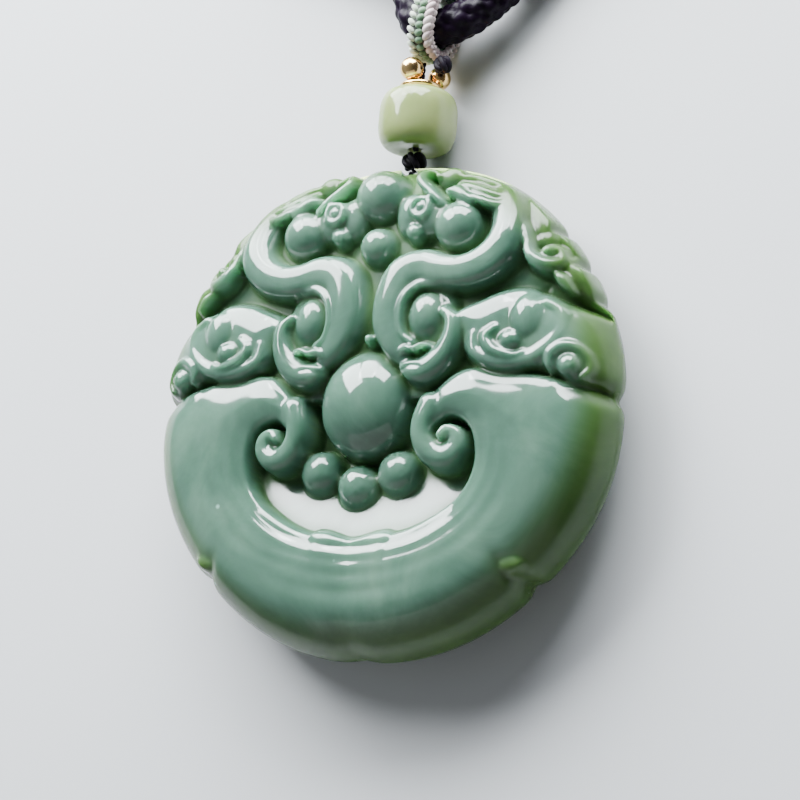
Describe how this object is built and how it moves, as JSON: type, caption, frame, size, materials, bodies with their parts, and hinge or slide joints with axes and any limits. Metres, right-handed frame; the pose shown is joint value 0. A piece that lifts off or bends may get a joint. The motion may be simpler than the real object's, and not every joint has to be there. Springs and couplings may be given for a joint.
{
  "type": "carved jade plaque pendant",
  "caption": "Round nephrite jade plaque carved in high relief, lying on its back, strung under a pale bead on a braided neck cord.",
  "frame": {"origin": "on the surface it lies on, under the middle of the plaque's box; the plaque lies on its flat back", "axes": "+Z out of the carved front, +Y towards the plaque's top and the cord, +X to the viewer's right"},
  "size_m": [0.065, 0.1509, 0.0137],
  "materials": {
    "green_jade": "polished translucent nephrite",
    "pale_jade": "polished translucent pale nephrite",
    "gold": "polished gold",
    "dark_thread": "waxed nylon thread, dark purple",
    "strap_thread": "knotted thread, white, green and pink",
    "purple_cord": "braided nylon cord, dark purple"
  },
  "bodies": {
    "root": {"jade_plaque": "green_jade", "thread_loop": "dark_thread", "lower_knot": "dark_thread", "thread_stem": "dark_thread", "jade_bead": "pale_jade", "gold_washer": "gold", "gold_ball_left": "gold", "gold_ball_right": "gold", "upper_knot": "dark_thread", "bail_strap": "strap_thread", "neck_cord": "purple_cord", "neck_cord_coil": "purple_cord"}
  },
  "joints": []
}
